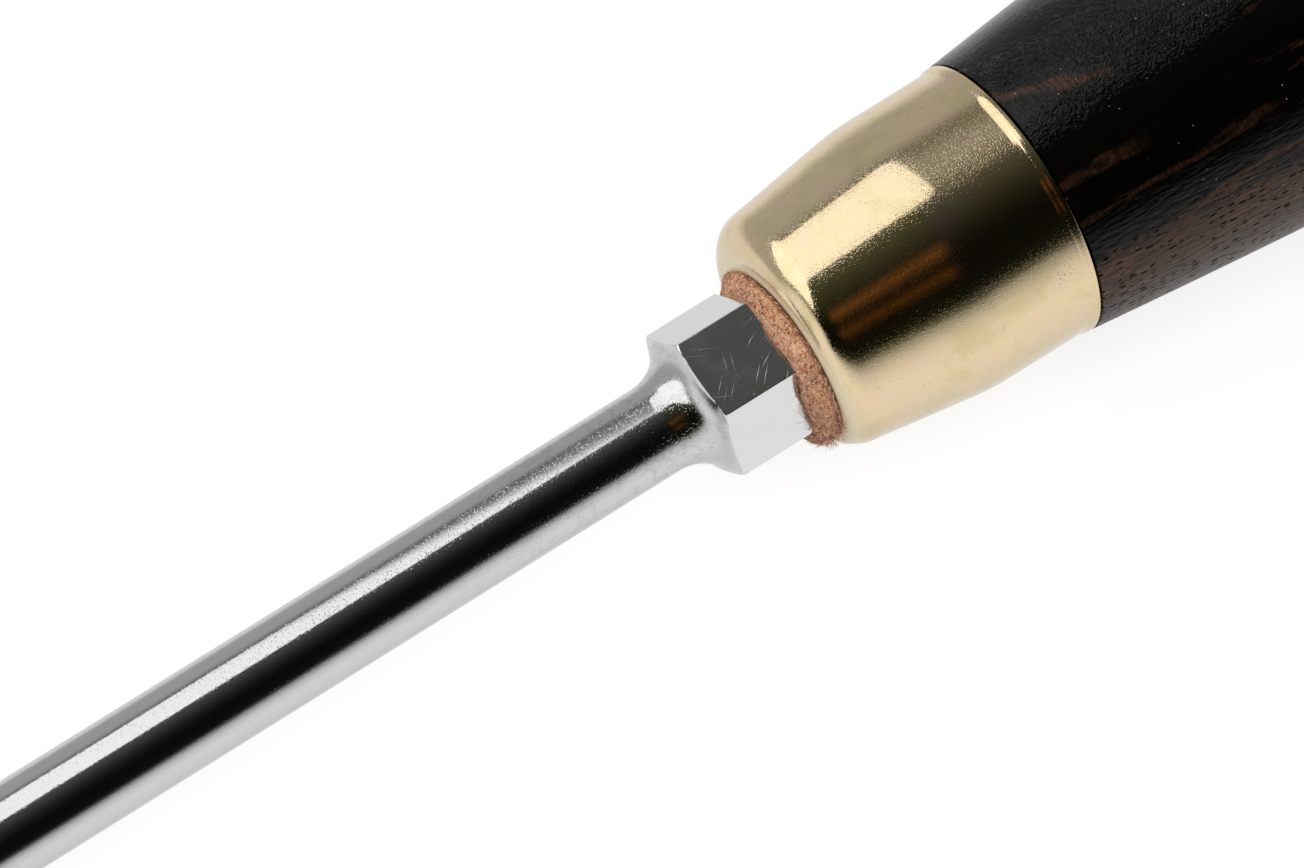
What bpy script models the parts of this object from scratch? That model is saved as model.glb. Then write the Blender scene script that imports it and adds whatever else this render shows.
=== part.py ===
"""Pozidriv screwdriver of size 2 with a turned wooden handle.

The tool lies along +X. The blunt end of its point is at the origin, and one
flat of the hexagonal bolster faces +Z. All sizes are in metres.
"""

import math

import bmesh
import bpy
from mathutils import Matrix, Vector

MM = 0.001

# Fits between the pieces
FIT_GAP = 0.3 * MM                      # beside a piece that sits inside another
SEAT_GAP = 0.1 * MM                     # between flat faces that press together
SEAM_GAP = 0.15 * MM                    # between the ferrule's rim and the wood behind it
HANDLE_RUNOUT = 0.6 * MM                # handle's own axis lies this far to +Y of the blade's

# Blade: one forging with point, shank, bolster and tang
BLADE_LENGTH = 100.0 * MM               # blunt end of the point to the front of the bolster
SHANK_DIAMETER = 6.0 * MM
POINT_FLAT_DIAMETER = 2.3 * MM
POINT_HALF_ANGLE = math.radians(26.5)
WING_THICKNESS = 1.0 * MM
RIB_THICKNESS = 0.4 * MM
RIB_HEIGHT = 0.35 * MM                  # rib's crest above the valleys on its two sides
FLUTE_LENGTH = 4.5 * MM                 # straight part of a flute, before it runs out
FLUTE_TAPER = math.radians(4.5)
FLUTE_RUNOUT_RADIUS = 6.0 * MM
BOLSTER_ACROSS_FLATS = 9.65 * MM
BOLSTER_DIAMETER = 11.0 * MM            # turned blank, which rounds the hexagon's corners
BOLSTER_LENGTH = 5.3 * MM
BOLSTER_HEEL_BEVEL = 0.3 * MM
TANG_ROOT_WIDTH = 5.2 * MM
TANG_END_WIDTH = 3.2 * MM
TANG_LENGTH = 62.0 * MM
TANG_POINT_LENGTH = 5.0 * MM
TANG_POINT_WIDTH = 1.2 * MM

# Leather washer, squeezed between the bolster and the ferrule
WASHER_DIAMETER = 12.5 * MM
WASHER_THICKNESS = 1.3 * MM
WASHER_EDGE_RADIUS = 0.55 * MM

# Brass ferrule: a drawn cup with a hole for the tang
FERRULE_LENGTH = 18.25 * MM
FERRULE_WALL = 1.0 * MM
FERRULE_NOSE_DIAMETER = 16.35 * MM      # where the cone would meet the plane of the nose
FERRULE_NOSE_RADIUS = 2.3 * MM
FERRULE_CONE_LENGTH = 11.0 * MM
FERRULE_BODY_DIAMETER = 19.5 * MM
FERRULE_BLEND_RADIUS = 18.0 * MM        # between the cone and the body
FERRULE_LIP_LENGTH = 1.2 * MM
FERRULE_RIM_DIAMETER = 19.84 * MM
FERRULE_LIP_RADIUS = 5.0 * MM

# Wooden handle behind the ferrule's rim
HANDLE_COLLAR_DIAMETER = 19.9 * MM      # wood at the rim
HANDLE_FLARE_SLOPE = 0.115              # rise of the radius just behind the rim
HANDLE_FLARE_LENGTH = 66.0 * MM         # rim to the thickest place
HANDLE_SWELL_DIAMETER = 29.0 * MM
HANDLE_TAPER_LENGTH = 21.0 * MM         # thickest place to the edge of the dome
HANDLE_HEEL_DIAMETER = 25.2 * MM
HANDLE_HEEL_SLOPE = -0.24
HANDLE_DOME_LENGTH = 10.0 * MM
HANDLE_DOME_FULLNESS = 0.55             # share of the heel's radius that the dome keeps broad
HANDLE_ACROSS_FLATS = 24.8 * MM

# Fineness of the round shapes
BLADE_SEGMENTS = 48
GRIP_SEGMENTS = 48
ARC_STEPS = 8
NECK_STEPS = 14
FLARE_STEPS = 16
TAPER_STEPS = 6

# Places along the blade's axis
NECK_SWEEP = (BOLSTER_DIAMETER - SHANK_DIAMETER) / 2
HEEL_X = BLADE_LENGTH + BOLSTER_LENGTH
NOSE_X = HEEL_X + SEAT_GAP + WASHER_THICKNESS + SEAT_GAP
TANG_HALF_DIAGONAL = TANG_ROOT_WIDTH / math.sqrt(2)


def clear_scene():
    for scene_object in list(bpy.data.objects):
        bpy.data.objects.remove(scene_object)


def make_empty(name, location, parent=None):
    empty = bpy.data.objects.new(name, None)
    empty.empty_display_size = 5 * MM
    empty.location = location
    empty.parent = parent
    bpy.context.scene.collection.objects.link(empty)
    return empty


def make_material(name, colour, roughness, metallic):
    material = bpy.data.materials.new(name)
    material.use_nodes = True
    shader = material.node_tree.nodes["Principled BSDF"]
    shader.inputs["Base Color"].default_value = (*colour, 1.0)
    shader.inputs["Roughness"].default_value = roughness
    shader.inputs["Metallic"].default_value = metallic
    return material


def make_object(name, shape, parent, location=(0, 0, 0)):
    """Turns a bmesh into an object that is shaded smooth between its sharp edges."""
    bmesh.ops.recalc_face_normals(shape, faces=shape.faces)
    mesh = bpy.data.meshes.new(name)
    shape.to_mesh(mesh)
    shape.free()
    mesh.shade_smooth()
    mesh.set_sharp_from_angle(angle=math.radians(30))
    made = bpy.data.objects.new(name, mesh)
    made.location = location
    made.parent = parent
    bpy.context.scene.collection.objects.link(made)
    return made


def make_tool(name, shape, parent, location=(0, 0, 0)):
    """Makes an object that only cuts or joins another one."""
    tool = make_object(name, shape, parent, location)
    tool.hide_render = True
    tool.display_type = "WIRE"
    return tool


def add_boolean(target, operation, tool):
    modifier = target.modifiers.new(tool.name, "BOOLEAN")
    modifier.operation = operation
    modifier.object = tool


def turned(outline, segments, closed=False):
    """Spins an outline of (x, radius) points round the X axis."""
    shape = bmesh.new()
    points = [shape.verts.new((x, 0, radius)) for x, radius in outline]
    runs = list(zip(points, points[1:]))
    if closed:
        runs.append((points[-1], points[0]))
    edges = [shape.edges.new(run) for run in runs]
    bmesh.ops.spin(shape, geom=points + edges, axis=(1, 0, 0), cent=(0, 0, 0),
                   angle=math.tau, steps=segments, use_merge=True)
    bmesh.ops.remove_doubles(shape, verts=shape.verts, dist=0.001 * MM)
    return shape


def add_loft(shape, rings):
    """Skins rings of points that have the same count and closes both ends."""
    loops = [[shape.verts.new(point) for point in ring] for ring in rings]
    for near, far in zip(loops, loops[1:]):
        for i in range(len(near)):
            following = (i + 1) % len(near)
            shape.faces.new((near[i], near[following], far[following], far[i]))
    shape.faces.new(loops[0])
    shape.faces.new(loops[-1])


def rounded_corner(before, corner, after, radius, steps=ARC_STEPS):
    """Arc that rounds the corner between two straight runs."""
    corner = Vector(corner)
    back = (Vector(before) - corner).normalized()
    ahead = (Vector(after) - corner).normalized()
    half_angle = back.angle(ahead) / 2
    centre = corner + (back + ahead).normalized() * radius / math.sin(half_angle)
    tangent_length = radius / math.tan(half_angle)
    first = (corner + back * tangent_length - centre).normalized()
    last = (corner + ahead * tangent_length - centre).normalized()
    return [tuple(centre + first.slerp(last, i / steps) * radius) for i in range(steps + 1)]


def eased_curve(start, start_slope, end, end_slope, steps):
    """Smooth run between two (x, radius) points that leaves and arrives at the given slopes."""
    reach = end[0] - start[0]
    points = []
    for i in range(steps + 1):
        t = i / steps
        radius = ((2 * t**3 - 3 * t**2 + 1) * start[1] + (3 * t**2 - 2 * t**3) * end[1]
                  + (t**3 - 2 * t**2 + t) * reach * start_slope + (t**3 - t**2) * reach * end_slope)
        points.append((start[0] + reach * t, radius))
    return points


def inset_outline(outline, distance):
    """Moves an outline inwards, square to itself."""
    moved = []
    for i, (x, radius) in enumerate(outline):
        before = outline[max(i - 1, 0)]
        after = outline[min(i + 1, len(outline) - 1)]
        run = Vector(after) - Vector(before)
        run.normalize()
        moved.append((x + run.y * distance, radius - run.x * distance))
    return moved


def hexagon(x, across_flats):
    """Hexagon square to X with a flat that faces +Z."""
    corner_radius = across_flats / 2 / math.cos(math.pi / 6)
    corners = []
    for i in range(6):
        angle = i * math.pi / 3
        corners.append(Vector((x, corner_radius * math.cos(angle), corner_radius * math.sin(angle))))
    return corners


def bolster_milling():
    """Ring with a hexagonal hole, which leaves the six flats on the turned blank."""
    margin = BOLSTER_LENGTH / 2
    start = BLADE_LENGTH - NECK_SWEEP - margin
    end = HEEL_X + margin
    outer = BOLSTER_DIAMETER + BOLSTER_ACROSS_FLATS
    inner = BOLSTER_ACROSS_FLATS
    path = [hexagon(start, inner), hexagon(start, outer), hexagon(end, outer), hexagon(end, inner)]
    shape = bmesh.new()
    loops = [[shape.verts.new(point) for point in ring] for ring in path]
    for i, near in enumerate(loops):
        far = loops[(i + 1) % len(loops)]
        for k in range(6):
            following = (k + 1) % 6
            shape.faces.new((near[k], near[following], far[following], far[k]))
    return shape


def flute_section(outward):
    """Gap between two wings with the rib standing in it, moved outwards along the rib."""
    wing = WING_THICKNESS / 2
    rib = RIB_THICKNESS / math.sqrt(2)
    crest = RIB_HEIGHT / math.sqrt(2)
    clear = SHANK_DIAMETER
    valley = (wing + rib, wing)
    rib_edge = (valley[0] + crest, valley[1] + crest)
    section = [(clear, wing), valley, rib_edge, rib_edge[::-1], valley[::-1], (wing, clear), (clear, clear)]
    shift = outward / math.sqrt(2)
    return [(y + shift, z + shift) for y, z in section]


def flute_path():
    """Pairs of x and outward travel: a straight taper, then the arc of the wheel that runs out."""
    rise = math.tan(FLUTE_TAPER)
    lead_in = SHANK_DIAMETER / 2
    path = [(-lead_in, -lead_in * rise), (FLUTE_LENGTH, FLUTE_LENGTH * rise)]
    lift = min(SHANK_DIAMETER / 2, FLUTE_RUNOUT_RADIUS)
    exit_angle = math.acos(1 - lift / FLUTE_RUNOUT_RADIUS)
    for i in range(1, ARC_STEPS + 1):
        angle = exit_angle * i / ARC_STEPS
        along = FLUTE_RUNOUT_RADIUS * math.sin(angle)
        lifted = FLUTE_RUNOUT_RADIUS * (1 - math.cos(angle))
        x = FLUTE_LENGTH + along
        path.append((x, x * rise + lifted))
    return path


def point_flutes():
    """Four flutes that leave the wings of the point and a rib between each two wings."""
    shape = bmesh.new()
    for quarter in range(4):
        turn = Matrix.Rotation(quarter * math.pi / 2, 3, "X")
        rings = []
        for x, outward in flute_path():
            rings.append([turn @ Vector((x, y, z)) for y, z in flute_section(outward)])
        add_loft(shape, rings)
    return shape


def square(x, width):
    half = width / 2
    return [Vector((x, y, z)) for y, z in ((-half, -half), (half, -half), (half, half), (-half, half))]


def tang_shape(root_x, growth=0.0):
    """Square tang that tapers to a blunt point, or its socket when it is grown all round."""
    taper_end = TANG_LENGTH - TANG_POINT_LENGTH
    rings = [
        square(root_x, TANG_ROOT_WIDTH + 2 * growth),
        square(0, TANG_ROOT_WIDTH + 2 * growth),
        square(taper_end, TANG_END_WIDTH + 2 * growth),
        square(TANG_LENGTH + growth, TANG_POINT_WIDTH + 2 * growth),
    ]
    shape = bmesh.new()
    add_loft(shape, rings)
    return shape


def blade_outline():
    shank = SHANK_DIAMETER / 2
    flat = POINT_FLAT_DIAMETER / 2
    bolster = BOLSTER_DIAMETER / 2
    cone_length = (shank - flat) / math.tan(POINT_HALF_ANGLE)
    outline = [(0, 0), (0, flat), (cone_length, shank)]
    neck_foot = (BLADE_LENGTH - NECK_SWEEP, shank)
    for i in range(NECK_STEPS + 1):
        angle = i / NECK_STEPS * math.pi / 2
        outline.append((neck_foot[0] + NECK_SWEEP * math.sin(angle),
                        neck_foot[1] + NECK_SWEEP * (1 - math.cos(angle))))
    outline.append((HEEL_X - BOLSTER_HEEL_BEVEL, bolster))
    outline.append((HEEL_X, bolster - BOLSTER_HEEL_BEVEL))
    outline.append((HEEL_X, 0))
    return outline


def make_blade(tool_axis):
    blade = make_object("blade", turned(blade_outline(), BLADE_SEGMENTS), tool_axis)
    blade.data.materials.append(make_material("polished_chrome", (0.60, 0.61, 0.62), 0.12, 1.0))
    milling = make_tool("bolster_milling", bolster_milling(), tool_axis)
    flutes = make_tool("point_flutes", point_flutes(), tool_axis)
    tang = make_tool("tang", tang_shape(-BOLSTER_LENGTH / 2), tool_axis, (HEEL_X, 0, 0))
    add_boolean(blade, "DIFFERENCE", milling)
    add_boolean(blade, "DIFFERENCE", flutes)
    add_boolean(blade, "UNION", tang)


def make_washer(tool_axis):
    """Leather ring round the tang, with its outer edges rubbed round."""
    hole = TANG_HALF_DIAGONAL + FIT_GAP
    rim = WASHER_DIAMETER / 2
    front = SEAT_GAP
    rear = SEAT_GAP + WASHER_THICKNESS
    front_edge = rounded_corner((front, hole), (front, rim), (rear, rim), WASHER_EDGE_RADIUS)
    rear_edge = rounded_corner((front, rim), (rear, rim), (rear, hole), WASHER_EDGE_RADIUS)
    outline = [(front, hole), *front_edge, *rear_edge, (rear, hole)]
    washer = make_object("leather_washer", turned(outline, BLADE_SEGMENTS, closed=True),
                         tool_axis, (HEEL_X, 0, 0))
    washer.data.materials.append(make_material("raw_leather", (0.47, 0.19, 0.12), 0.9, 0.0))


def ferrule_outline():
    """Outside of the ferrule from the edge of its hole to its rim."""
    hole = (0, TANG_HALF_DIAGONAL + HANDLE_RUNOUT + FIT_GAP)
    nose = (0, FERRULE_NOSE_DIAMETER / 2)
    cone_end = (FERRULE_CONE_LENGTH, FERRULE_BODY_DIAMETER / 2)
    body_end = (FERRULE_LENGTH - FERRULE_LIP_LENGTH, FERRULE_BODY_DIAMETER / 2)
    rim = (FERRULE_LENGTH, FERRULE_RIM_DIAMETER / 2)
    blend_steps = ARC_STEPS // 2
    return [
        hole,
        *rounded_corner(hole, nose, cone_end, FERRULE_NOSE_RADIUS),
        *rounded_corner(nose, cone_end, body_end, FERRULE_BLEND_RADIUS, blend_steps),
        *rounded_corner(cone_end, body_end, rim, FERRULE_LIP_RADIUS, blend_steps),
        rim,
    ]


def make_ferrule(handle_axis):
    outside = ferrule_outline()
    inside = inset_outline(outside, FERRULE_WALL)
    inside[-1] = (FERRULE_LENGTH, inside[-1][1])
    outline = outside + inside[::-1]
    ferrule = make_object("brass_ferrule", turned(outline, GRIP_SEGMENTS, closed=True), handle_axis)
    ferrule.data.materials.append(make_material("brass", (0.80, 0.60, 0.28), 0.25, 1.0))


def handle_outline():
    """Spigot inside the ferrule, shoulder behind its rim, flare, swell and domed end."""
    spigot = inset_outline(ferrule_outline(), FERRULE_WALL + FIT_GAP)
    shoulder_x = FERRULE_LENGTH + SEAM_GAP
    collar = (shoulder_x, HANDLE_COLLAR_DIAMETER / 2)
    swell = (shoulder_x + HANDLE_FLARE_LENGTH, HANDLE_SWELL_DIAMETER / 2)
    heel = (swell[0] + HANDLE_TAPER_LENGTH, HANDLE_HEEL_DIAMETER / 2)
    end_x = heel[0] + HANDLE_DOME_LENGTH
    outline = [(spigot[0][0], 0), *spigot[1:-1], (shoulder_x, spigot[-1][1])]
    outline += eased_curve(collar, HANDLE_FLARE_SLOPE, swell, 0, FLARE_STEPS)
    outline += eased_curve(swell, 0, heel, HANDLE_HEEL_SLOPE, TAPER_STEPS)[1:]
    shoulder_reach = HANDLE_DOME_LENGTH / 2
    bends = (Vector(heel), Vector((heel[0] + shoulder_reach, heel[1] + HANDLE_HEEL_SLOPE * shoulder_reach)),
             Vector((end_x, heel[1] * HANDLE_DOME_FULLNESS)), Vector((end_x, 0)))
    for i in range(1, ARC_STEPS + 1):
        t = i / ARC_STEPS
        point = (bends[0] * (1 - t)**3 + bends[1] * 3 * t * (1 - t)**2
                 + bends[2] * 3 * t**2 * (1 - t) + bends[3] * t**3)
        outline.append(tuple(point))
    return outline


def handle_flats():
    """Two blocks that leave the flats which keep the tool from rolling."""
    depth = HANDLE_SWELL_DIAMETER
    length = HANDLE_FLARE_LENGTH + HANDLE_TAPER_LENGTH + HANDLE_DOME_LENGTH + FERRULE_LENGTH
    shape = bmesh.new()
    for side in (-1, 1):
        place = Matrix.Translation((length / 2 + FERRULE_LENGTH, 0, side * (HANDLE_ACROSS_FLATS + depth) / 2))
        size = Matrix.Diagonal((length, 2 * depth, depth, 1))
        bmesh.ops.create_cube(shape, size=1, matrix=place @ size)
    return shape


def make_handle(tool_axis, handle_axis):
    handle = make_object("wooden_handle", turned(handle_outline(), GRIP_SEGMENTS), handle_axis)
    handle.data.materials.append(make_material("stained_hornbeam", (0.022, 0.013, 0.009), 0.42, 0.0))
    socket = make_tool("tang_socket", tang_shape(-BOLSTER_LENGTH, FIT_GAP), tool_axis, (HEEL_X, 0, 0))
    add_boolean(handle, "DIFFERENCE", make_tool("handle_flats", handle_flats(), handle_axis))
    add_boolean(handle, "DIFFERENCE", socket)


def main():
    clear_scene()
    tool_axis = make_empty("tool_axis", (0, 0, 0))
    handle_axis = make_empty("handle_axis", (NOSE_X, HANDLE_RUNOUT, 0), tool_axis)
    make_blade(tool_axis)
    make_washer(tool_axis)
    make_ferrule(handle_axis)
    make_handle(tool_axis, handle_axis)


main()
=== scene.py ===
import math
import random

import bpy
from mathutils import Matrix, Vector, noise


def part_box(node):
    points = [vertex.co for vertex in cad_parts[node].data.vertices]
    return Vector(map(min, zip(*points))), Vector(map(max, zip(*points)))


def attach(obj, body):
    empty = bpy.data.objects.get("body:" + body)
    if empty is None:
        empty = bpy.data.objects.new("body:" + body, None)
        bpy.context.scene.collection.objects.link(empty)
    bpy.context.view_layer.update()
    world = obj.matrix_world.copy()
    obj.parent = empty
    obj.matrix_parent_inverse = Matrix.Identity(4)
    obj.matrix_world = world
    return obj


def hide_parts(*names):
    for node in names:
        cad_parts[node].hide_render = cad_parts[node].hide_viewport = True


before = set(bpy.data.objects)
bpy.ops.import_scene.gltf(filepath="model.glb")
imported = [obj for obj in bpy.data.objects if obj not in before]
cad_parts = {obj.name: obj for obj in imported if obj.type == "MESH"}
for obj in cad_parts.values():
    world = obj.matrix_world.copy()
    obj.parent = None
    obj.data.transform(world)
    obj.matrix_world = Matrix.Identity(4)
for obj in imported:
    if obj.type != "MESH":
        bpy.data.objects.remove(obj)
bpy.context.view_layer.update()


# Blade: a bar of tool steel, forged with a hexagonal bolster, ground, and plated with bright chrome.
# The front end is milled to a cross point with a low rib between each two wings. The square tang
# behind the bolster is driven into the handle.
MM = 0.001
SHANK_RADIUS = 3.0 * MM
POINT_FLAT_RADIUS = 1.15 * MM
POINT_HALF_ANGLE = math.radians(26.5)
NECK_START = 96.8 * MM
NECK_LENGTH = 3.05 * MM
NECK_RISE = 2.58 * MM
NECK_STEPS = 120
WALL_RUN = 0.26 * MM
WALL_RISE = 0.78 * MM
WALL_STEPS = 13
HEEL_X = 105.3 * MM
BLADE_STEPS = 288
FLAT_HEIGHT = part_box("blade")[1].z
NECK_BLEND = 0.30 * MM
CORNER_BLEND = 0.75 * MM
CORNER_RADIUS = FLAT_HEIGHT / math.cos(math.pi / 6)
EDGE_BREAK = 0.05 * MM
EDGE_BREAK_SHORTEST = 1.6 * EDGE_BREAK
SHARP_EDGE = math.radians(30)
BLADE_SMOOTHING = math.radians(8)
WING_HALF = 0.5 * MM
RIB_SIDE = 0.4 * MM / math.sqrt(2)
RIB_CREST = 0.35 * MM / math.sqrt(2)
FLUTE_LEAD = -3 * MM
FLUTE_LENGTH = 4.5 * MM
FLUTE_RISE = math.tan(math.radians(4.5))
FLUTE_WHEEL_RADIUS = 6.0 * MM
FLUTE_RUN_OUT = math.radians(60)
RUN_OUT_STEPS = 10
TANG_OVERLAP = 2 * MM
TANG_ROOT = 5.2 * MM
TANG_END = 3.2 * MM
TANG_POINT = 1.2 * MM
TANG_LENGTH = 62.0 * MM
TANG_POINT_LENGTH = 5.0 * MM


def draw_chain(name, points):
    """A plane is merged to one vertex, which is extruded from point to point."""
    bpy.ops.object.select_all(action="DESELECT")
    bpy.ops.mesh.primitive_plane_add(size=2 * MM)
    drawn = bpy.context.object
    drawn.name = name
    drawn.data.name = name
    bpy.ops.object.mode_set(mode="EDIT")
    bpy.ops.mesh.select_all(action="SELECT")
    bpy.ops.mesh.merge(type="CENTER")
    bpy.ops.transform.translate(value=points[0])
    for here, there in zip(points, points[1:]):
        step = Vector(there) - Vector(here)
        bpy.ops.mesh.extrude_region_move(TRANSFORM_OT_translate={"value": step})
    return drawn


def turn_piece(name, outline, steps, axis_y=0.0):
    """Draws an outline of (x, radius) points and spins it once round a line along X."""
    piece = draw_chain(name, [(x, axis_y, radius) for x, radius in outline])
    bpy.ops.mesh.select_all(action="SELECT")
    bpy.ops.mesh.spin(steps=steps, angle=math.tau, center=(0, axis_y, 0), axis=(1, 0, 0))
    bpy.ops.mesh.select_all(action="SELECT")
    bpy.ops.mesh.remove_doubles(threshold=0.0005 * MM)
    bpy.ops.mesh.normals_make_consistent(inside=False)
    return piece


def cut_or_join(piece, tool, operation):
    """Applies a Boolean with another object, which is then removed."""
    bpy.ops.object.mode_set(mode="OBJECT")
    bpy.ops.object.select_all(action="DESELECT")
    bpy.context.view_layer.objects.active = piece
    piece.select_set(True)
    modifier = piece.modifiers.new(tool.name, "BOOLEAN")
    modifier.operation = operation
    modifier.object = tool
    bpy.ops.object.modifier_apply(modifier=modifier.name)
    bpy.data.objects.remove(tool)


def srgb(code):
    """Linear colour of an sRGB hex code."""
    channels = [int(code[i:i + 2], 16) / 255 for i in (1, 3, 5)]
    linear = [c / 12.92 if c <= 0.04045 else ((c + 0.055) / 1.055) ** 2.4 for c in channels]
    return (*linear, 1.0)


def add_node(tree, kind, inputs, gives=None, stops=(), **settings):
    """Adds a node with its settings, fills or links its inputs, and sets a colour ramp's stops.
    Returns the output that is named, or else the first one in use."""
    node = tree.nodes.new("ShaderNode" + kind)
    for name, value in settings.items():
        setattr(node, name, value)
    for position, colour in stops[1:-1]:
        node.color_ramp.elements.new(position)
    for i, (position, colour) in enumerate(stops):
        node.color_ramp.elements[i].position = position
        node.color_ramp.elements[i].color = colour
    in_use = [socket for socket in node.inputs if socket.enabled]
    for name, value in inputs.items():
        socket = in_use[name] if isinstance(name, int) else next(s for s in in_use if s.name == name)
        if isinstance(value, bpy.types.NodeSocket):
            tree.links.new(value, socket)
        else:
            socket.default_value = value
    return next((s for s in node.outputs if s.enabled and gives in (None, s.name)), None)


def pattern_scale(length, width):
    """Mapping scale of a pattern with cells of this length along the tool and this width across it."""
    return (1 / length, 1 / width, 1 / width)


def add_dents(tree, cells, rarest, deepest, reach):
    """Dents of chance depth in some of a pattern's cells, each fading out at this reach."""
    chance = add_node(tree, "SeparateColor", {"Color": cells.node.outputs["Color"]})
    depth = add_node(tree, "MapRange", {"Value": chance, "From Min": rarest, "From Max": deepest})
    shape = add_node(tree, "MapRange", {"Value": cells, "From Max": reach, "To Min": 1.0, "To Max": 0.0})
    return add_node(tree, "Math", {0: depth, 1: shape}, operation="MULTIPLY")


def new_material(name):
    """Empty node material and its node tree."""
    material = bpy.data.materials.new(name)
    material.use_nodes = True
    material.node_tree.nodes.clear()
    return material, material.node_tree


cone_length = (SHANK_RADIUS - POINT_FLAT_RADIUS) / math.tan(POINT_HALF_ANGLE)
blade_outline = [(0, 0), (0, POINT_FLAT_RADIUS), (cone_length, SHANK_RADIUS)]
for i in range(NECK_STEPS + 1):
    angle = i / NECK_STEPS * math.pi / 2
    blade_outline.append((NECK_START + NECK_LENGTH * math.sin(angle),
                          SHANK_RADIUS + NECK_RISE * (1 - math.cos(angle))))
wall_x, wall_radius = blade_outline[-1]
blade_outline += [(wall_x + WALL_RUN * i / WALL_STEPS, wall_radius + WALL_RISE * i / WALL_STEPS)
                  for i in range(1, WALL_STEPS + 1)]
blade_outline += [(HEEL_X, wall_radius + WALL_RISE), (HEEL_X, 0)]
blade = turn_piece("chromed_blade", blade_outline, BLADE_STEPS)
bpy.ops.object.mode_set(mode="OBJECT")
for vertex in blade.data.vertices:
    radius = max(math.hypot(vertex.co.y, vertex.co.z), 0.001 * MM)
    from_flat = (math.atan2(vertex.co.y, vertex.co.z) + math.pi / 6) % (math.pi / 3) - math.pi / 6
    flat_radius = FLAT_HEIGHT / math.cos(from_flat)
    to_corner = (flat_radius - FLAT_HEIGHT) / (CORNER_RADIUS - FLAT_HEIGHT)
    blend = NECK_BLEND + (CORNER_BLEND - NECK_BLEND) * to_corner**2
    overlap = max(blend - abs(radius - flat_radius), 0.0)
    shaped = min(radius, flat_radius) - overlap**2 / (4 * blend)
    vertex.co.y *= shaped / radius
    vertex.co.z *= shaped / radius
bpy.ops.object.mode_set(mode="EDIT")
bpy.ops.mesh.select_all(action="SELECT")
bpy.ops.mesh.remove_doubles(threshold=0.003 * MM)
bpy.ops.mesh.normals_make_consistent(inside=False)
bpy.ops.mesh.select_mode(type="EDGE")
bpy.ops.mesh.select_all(action="DESELECT")
bpy.ops.mesh.edges_select_sharp(sharpness=SHARP_EDGE)
bpy.ops.object.mode_set(mode="OBJECT")
for edge in blade.data.edges:
    ends = [blade.data.vertices[i].co for i in edge.vertices]
    if (ends[1] - ends[0]).length < EDGE_BREAK_SHORTEST:
        edge.select = False
bpy.ops.object.mode_set(mode="EDIT")
bpy.ops.mesh.bevel(offset=EDGE_BREAK, segments=3, affect="EDGES")
bpy.ops.mesh.select_mode(type="VERT")
bpy.ops.object.mode_set(mode="OBJECT")

clear = 2 * SHANK_RADIUS
valley = WING_HALF + RIB_SIDE
crest = (valley + RIB_CREST, WING_HALF + RIB_CREST)
section = [(clear, WING_HALF), (valley, WING_HALF), crest, crest[::-1], (WING_HALF, valley),
           (WING_HALF, clear), (clear, clear)]
entry = FLUTE_LEAD * FLUTE_RISE / math.sqrt(2)
flutes = draw_chain("flutes", [(FLUTE_LEAD, y + entry, z + entry) for y, z in section])
bpy.ops.mesh.select_all(action="SELECT")
bpy.ops.mesh.edge_face_add()
travel = [(FLUTE_LEAD, FLUTE_LEAD * FLUTE_RISE), (FLUTE_LENGTH, FLUTE_LENGTH * FLUTE_RISE)]
for i in range(1, RUN_OUT_STEPS + 1):
    angle = FLUTE_RUN_OUT * i / RUN_OUT_STEPS
    x = FLUTE_LENGTH + FLUTE_WHEEL_RADIUS * math.sin(angle)
    travel.append((x, x * FLUTE_RISE + FLUTE_WHEEL_RADIUS * (1 - math.cos(angle))))
for here, there in zip(travel, travel[1:]):
    outward = (there[1] - here[1]) / math.sqrt(2)
    bpy.ops.mesh.extrude_region_move(
        TRANSFORM_OT_translate={"value": (there[0] - here[0], outward, outward)})
bpy.ops.mesh.select_all(action="SELECT")
for quarter in range(3):
    bpy.ops.mesh.duplicate()
    bpy.ops.transform.rotate(value=math.pi / 2, orient_axis="X", center_override=(0, 0, 0))
bpy.ops.mesh.select_all(action="SELECT")
bpy.ops.mesh.normals_make_consistent(inside=False)
cut_or_join(blade, flutes, "DIFFERENCE")

tang_width = [TANG_ROOT, TANG_ROOT, TANG_END, TANG_POINT]
tang_x = [HEEL_X - TANG_OVERLAP, HEEL_X, HEEL_X + TANG_LENGTH - TANG_POINT_LENGTH, HEEL_X + TANG_LENGTH]
half = TANG_ROOT / 2
tang = draw_chain("tang", [(tang_x[0], -half, -half), (tang_x[0], half, -half),
                           (tang_x[0], half, half), (tang_x[0], -half, half)])
bpy.ops.mesh.select_all(action="SELECT")
bpy.ops.mesh.edge_face_add()
for i in range(1, 4):
    bpy.ops.mesh.extrude_region_move(TRANSFORM_OT_translate={"value": (tang_x[i] - tang_x[i - 1], 0, 0)})
    shrink = tang_width[i] / tang_width[i - 1]
    bpy.ops.transform.resize(value=(1, shrink, shrink), center_override=(tang_x[i], 0, 0))
bpy.ops.mesh.select_all(action="SELECT")
bpy.ops.mesh.normals_make_consistent(inside=False)
cut_or_join(blade, tang, "UNION")
bpy.ops.object.shade_smooth_by_angle(angle=BLADE_SMOOTHING)

# Bright chrome plating over ground steel: a mirror with a fine sandy grain and stray pits, both drawn
# coarser than they are so that they show. The neck was hard to polish: its grain is deeper and has pin
# holes, and water marks lie on the shank by it. The bolster keeps the lines of the grinding belt, with
# hair scratches, and nicks along its edges.
CHROME_GRAIN = 0.14 * MM
CHROME_GRAIN_HEIGHT = 0.007 * MM
CHROME_PITS = 0.32 * MM
BELT_LINES = (5 * MM, 0.12 * MM)
BELT_HEIGHT = 0.006 * MM
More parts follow.
